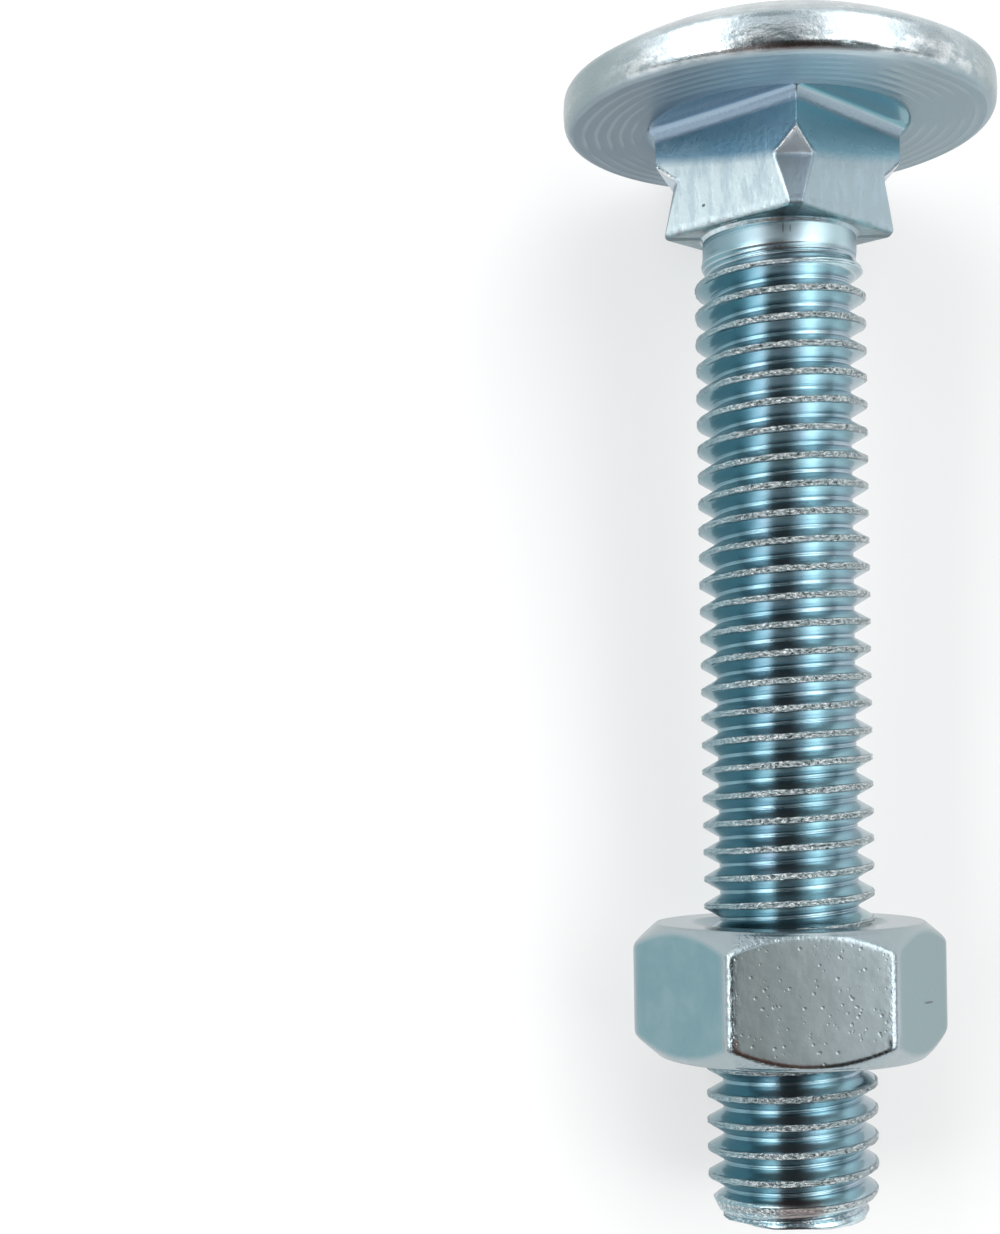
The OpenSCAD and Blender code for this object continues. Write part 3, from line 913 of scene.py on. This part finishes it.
# Camera: it looks down on the bolt from the tip's side of the middle, turned and rolled a little
view = {
    "distance": 90.40,          # from the bolt's axis, mm
    "station": 29.66,           # along the bolt
    "clock": 8.49,              # degrees round the bolt's axis from straight up
    "yaw": 8.51,
    "roll": 0.88,
    "focal": 1918.3,            # in pixels of a picture 1234 high
    "pictureHeight": 1234,
    "shift": 154.2,             # pixels, downwards
    "sensor": 36.0,
    "clipStart": 0.005,
    "clipEnd": 20.0,
}


def setCamera():
    # right and down turn by yaw and roll in a frame whose depth runs from the camera to the bolt's axis
    k = view
    clock, yaw, roll = (math.radians(k[a]) for a in ("clock", "yaw", "roll"))
    up = -under
    right = math.sin(clock) * up + math.cos(clock) * side
    depth = -math.cos(clock) * up + math.sin(clock) * side
    eye = seat + mm * (k["station"] * axis - k["distance"] * depth)
    level = math.cos(yaw) * right + math.sin(yaw) * depth
    forward = -math.sin(yaw) * right + math.cos(yaw) * depth
    imageRight = math.cos(roll) * level + math.sin(roll) * axis
    imageDown = math.cos(roll) * axis - math.sin(roll) * level
    data = bpy.data.cameras.new("camera")
    data.sensor_width = k["sensor"]
    data.lens = k["focal"] / k["pictureHeight"] * k["sensor"]
    data.shift_y = k["shift"] / k["pictureHeight"]
    data.clip_start = k["clipStart"]
    data.clip_end = k["clipEnd"]
    camera = bpy.data.objects.new("camera", data)
    turn = Matrix((imageRight, -imageDown, -forward)).transposed().to_4x4()
    camera.matrix_world = Matrix.Translation(eye) @ turn
    bpy.context.scene.collection.objects.link(camera)
    bpy.context.scene.camera = camera


floorLook = {
    "reach": 1.5,               # half its side, in metres
    "grey": 0.92,
    "ownWhite": 0.4,            # share of white that it has for camera, mirror and glass rays
}


def addFloor():
    # part of the white is the floor's own, and the rest keeps the shadow
    k = floorLook
    mesh = bpy.data.meshes.new("floor")
    corners = [(x * k["reach"], y * k["reach"], 0) for x, y in ((-1, -1), (1, -1), (1, 1), (-1, 1))]
    mesh.from_pydata(corners, [], [(0, 1, 2, 3)])
    floor = bpy.data.objects.new("floor", mesh)
    bpy.context.scene.collection.objects.link(floor)
    material = bpy.data.materials.new("pale_floor")
    material.use_nodes = True
    graph = Graph(material.node_tree)
    diffuse = graph.node("BsdfDiffuse", {}, {"Color": (k["grey"],) * 3})
    white = graph.node("Emission", {}, {"Color": (1, 1, 1), "Strength": 1.0})
    seen = graph.rays("Camera", "Glossy", "Transmission")
    surface = graph.node("MixShader", {}, {0: seen * k["ownWhite"], 1: diffuse, 2: white})
    graph.node("OutputMaterial", {}, {"Surface": surface})
    mesh.materials.append(material)


# Studio: two soft boxes along the bolt with a dark gap overhead, and brighter surroundings past the head.
# Tilts are in degrees from straight up: a glow or gap fades in between the first two and out between
# the last two. Names with Along say where it starts and where it is full, as the part of a direction
# that runs along the bolt: 1 is straight towards the tip, -1 straight past the head.
studio = {
    "lampDistance": 1.2,
    "lampHeight": 0.008,        # of the place that the soft boxes are set round
    "lampTowardsTip": 0.55,     # how far the soft boxes reach past the bolt's middle
    "lampTowardsHead": 1.7,
    "leftBox": (-60.0, -33.0),  # degrees from straight up
    "leftRadiance": 1.9,
    "rightBox": (22.0, 52.0),
    "rightRadiance": 1.55,
    "around": (0.30, 0.32, 0.33),
    "leftGlow": (-88, -58, -34, -31),
    "rightGlow": (2, 21, 50, 84),
    "glowAlong": (0.5, 0.3),
    "overhead": (0.035, 0.04, 0.043),
    "gap": (-35, -31, 1, 7),
    "gapAlong": (-0.30, -0.02),
    "overTip": (0.13, 0.08, 0.07),
    "tipGap": (-45, -35, 22, 32),
    "tipGapAlong": (0.3, 0.45),
    "pastHeadLeft": (1.15, 1.18, 1.2),
    "pastHeadRight": (0.7, 0.72, 0.74),
    "pastHeadAlong": (-0.24, -0.40),
    "farPastHead": (0.38, 0.43, 0.44),
    "farAlong": (-0.55, -0.75),
    "backdropTop": (0.12, 0.04),    # mirror rays see the white backdrop below this
}


def addLamp(name, tilts, radiance):
    # width = 2 * distance * tan(half the angle it spans); energy = radiance * pi * area
    k = studio
    middle = math.radians(sum(tilts) / 2)
    width = 2 * k["lampDistance"] * math.tan(math.radians(tilts[1] - tilts[0]) / 2)
    data = bpy.data.lights.new(name, "AREA")
    data.shape = "RECTANGLE"
    data.size = width
    data.size_y = k["lampTowardsTip"] + k["lampTowardsHead"]
    data.energy = radiance * math.pi * width * data.size_y
    lamp = bpy.data.objects.new(name, data)
    away = Vector((0, math.sin(middle), math.cos(middle)))
    along = Vector((1, 0, 0))
    turn = Matrix((along.cross(away), along, away)).transposed().to_4x4()
    centre = Vector(((k["lampTowardsTip"] - k["lampTowardsHead"]) / 2, 0, k["lampHeight"]))
    lamp.matrix_world = Matrix.Translation(centre + away * k["lampDistance"]) @ turn
    bpy.context.scene.collection.objects.link(lamp)


def setWorld():
    # colour by direction: even round the sides, dark between the soft boxes, bright past the head
    k = studio
    world = bpy.data.worlds.new("studio")
    world.use_nodes = True
    bpy.context.scene.world = world
    graph = Graph(world.node_tree)
    direction = graph.node("TexCoord", output="Generated")
    along, across, up = (graph.axisOf(direction, number) for number in range(3))
    tilt = graph.math("ARCTAN2", across, up)

    def tilted(name):
        return graph.band(tilt, *(math.radians(degrees) for degrees in k[name]))

    def reached(name):
        return graph.smooth(along, *k[name])

    pastHead = graph.mix(graph.smooth(across, -0.2, 0.2), k["pastHeadLeft"], k["pastHeadRight"])
    colour = graph.mix(reached("pastHeadAlong"), k["around"], pastHead)
    colour = graph.mix(reached("farAlong"), colour, k["farPastHead"])
    colour = graph.mix(tilted("leftGlow") * reached("glowAlong"), colour, (k["leftRadiance"],) * 3)
    colour = graph.mix(tilted("rightGlow") * reached("glowAlong"), colour, (k["rightRadiance"],) * 3)
    colour = graph.mix(tilted("gap") * reached("gapAlong"), colour, k["overhead"])
    colour = graph.mix(tilted("tipGap") * reached("tipGapAlong"), colour, k["overTip"])
    # the plain backdrop: camera and glass rays see it all round, mirror rays just above the floor
    mirrored = graph.rays("Glossy") * graph.smooth(up, *k["backdropTop"])
    colour = graph.mix(graph.most(graph.rays("Camera", "Transmission"), mirrored), colour, (1, 1, 1))
    shader = graph.node("Background", {}, {"Color": colour, "Strength": 1.0})
    graph.node("OutputWorld", {}, {"Surface": shader})


setCamera()
addFloor()
addLamp("left_soft_box", studio["leftBox"], studio["leftRadiance"])
addLamp("right_soft_box", studio["rightBox"], studio["rightRadiance"])
setWorld()
bpy.context.scene.view_settings.view_transform = "Standard"
print("camera, floor and lamps set")
